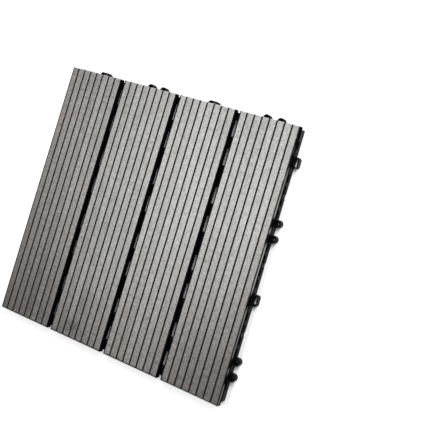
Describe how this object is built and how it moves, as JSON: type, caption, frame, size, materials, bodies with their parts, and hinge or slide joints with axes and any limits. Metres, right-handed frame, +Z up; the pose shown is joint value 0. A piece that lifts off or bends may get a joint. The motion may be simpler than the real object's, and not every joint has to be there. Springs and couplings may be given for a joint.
{
  "type": "interlocking deck tile",
  "caption": "Square deck tile of grooved grey wood-plastic slats screwed to a black moulded grid base with loops, eyes and pegs round its edge.",
  "frame": {"origin": "middle of the tile on the plane of its underside, where it lies on the ground", "axes": "+Z up out of the slats' tops, +Y along the slats, +X across them towards the side with loops and eyes"},
  "size_m": [0.3059, 0.3059, 0.022],
  "materials": {
    "base_plastic": "moulded black polypropylene, fine satin grain",
    "slat_composite": "wood-plastic composite, top sanded grey, extruded sides dark and slightly glossy",
    "screw_steel": "zinc plated"
  },
  "bodies": {
    "root": {"base_grid": "base_plastic", "slat_1": "slat_composite", "slat_2": "slat_composite", "slat_3": "slat_composite", "slat_4": "slat_composite", "deck_screws": "screw_steel"}
  },
  "joints": []
}
